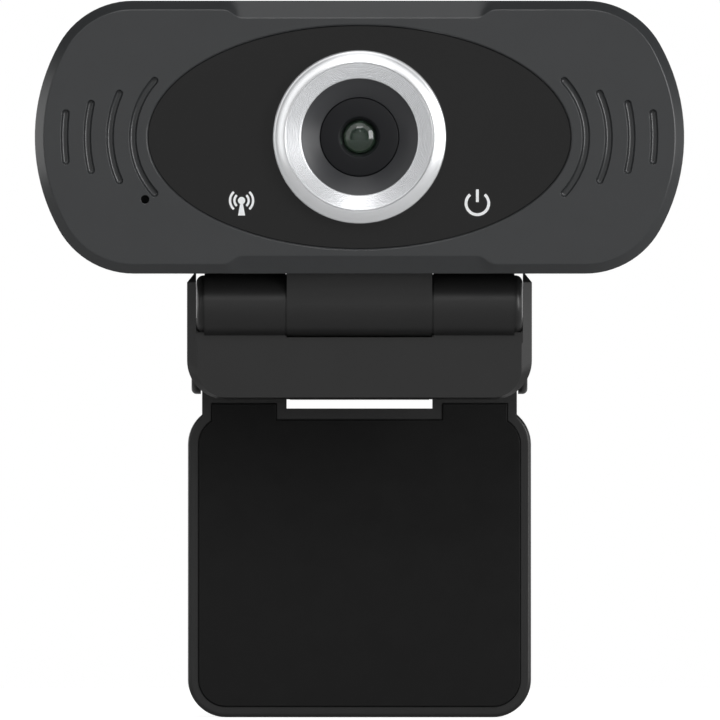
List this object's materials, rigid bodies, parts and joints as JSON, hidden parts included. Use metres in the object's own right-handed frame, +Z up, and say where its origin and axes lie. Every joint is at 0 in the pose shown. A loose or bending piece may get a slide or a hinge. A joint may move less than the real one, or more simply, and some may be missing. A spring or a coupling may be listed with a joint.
{
  "type": "webcam with folding monitor clip",
  "caption": "Wide rounded webcam with an oval front panel and a silver lens ring, tilting on a folding clip that hooks over a monitor and takes a tripod screw.",
  "frame": {"origin": "middle of the face that rests on top of a monitor, under the clip's top plate", "axes": "+X to the right as the camera is seen from the front, +Y back, away from the person it looks at, +Z up"},
  "size_m": [0.1, 0.0463, 0.1107],
  "materials": {
    "case_plastic": "fine-textured matt black-grey moulded plastic",
    "clip_plastic": "matt black moulded plastic",
    "panel_plastic": "glossy black acrylic",
    "icon_plastic": "white translucent inlay",
    "clear_plastic": "clear moulded light guide",
    "ring_metal": "bright silver with fine turned rings",
    "hood_plastic": "matt dark grey",
    "barrel_plastic": "matt black",
    "coated_glass": "coated optical glass",
    "circuit_board": "green solder mask",
    "chip_plastic": "black epoxy",
    "small_metal": "plain metal can",
    "ceramic_parts": "ceramic",
    "led_plastic": "white LED package",
    "soft_rubber": "matt black rubber",
    "steel": "plain steel",
    "nylon": "black nylon",
    "brass": "plain brass"
  },
  "bodies": {
    "bracket": {"clip_bracket": "clip_plastic", "rest_pad": "soft_rubber", "lip_pad": "soft_rubber", "tilt_pin": "steel", "friction_washers": "nylon", "left_hinge_cap": "clip_plastic", "right_hinge_cap": "clip_plastic", "fold_pin": "steel", "fold_washers": "nylon"},
    "head": {"front_shell": "case_plastic", "rear_shell": "case_plastic", "front_panel": "panel_plastic", "power_icon": "icon_plastic", "signal_icon": "icon_plastic", "light_guides": "clear_plastic", "lens_ring": "ring_metal", "lens_hood": "hood_plastic", "lens_barrel": "barrel_plastic", "front_lens": "coated_glass", "front_spacer": "barrel_plastic", "aperture_stop": "barrel_plastic", "middle_lens": "coated_glass", "rear_spacer": "barrel_plastic", "rear_lens": "coated_glass", "lens_retainer": "barrel_plastic", "lens_holder": "barrel_plastic", "main_board": "circuit_board", "controller_chip": "chip_plastic", "memory_chip": "chip_plastic", "clock_crystal": "small_metal", "capacitors": "ceramic_parts", "status_leds": "led_plastic", "cable_connector": "chip_plastic", "image_sensor": "chip_plastic", "infrared_filter": "coated_glass", "microphone_boot": "soft_rubber", "microphone": "chip_plastic", "cable_gland": "soft_rubber", "neck_block": "clip_plastic", "hinge_bushes": "nylon", "shell_screws": "steel", "board_screws": "steel", "holder_screws": "steel", "neck_screws": "steel"},
    "leg": {"leg_frame": "clip_plastic", "leg_pad": "soft_rubber", "leg_back_cover": "clip_plastic", "tripod_insert": "brass", "leg_screws": "steel"}
  },
  "joints": [
    {"name": "head_tilt", "type": "hinge", "parent": "bracket", "child": "head", "pos_m": [0, -0.0126, 0.0062], "axis": [1, 0, 0], "range_deg": [-30, 60]},
    {"name": "leg_fold", "type": "hinge", "parent": "bracket", "child": "leg", "pos_m": [0, 0.015, -0.0031], "axis": [1, 0, 0], "range_deg": [-68, 90]}
  ]
}
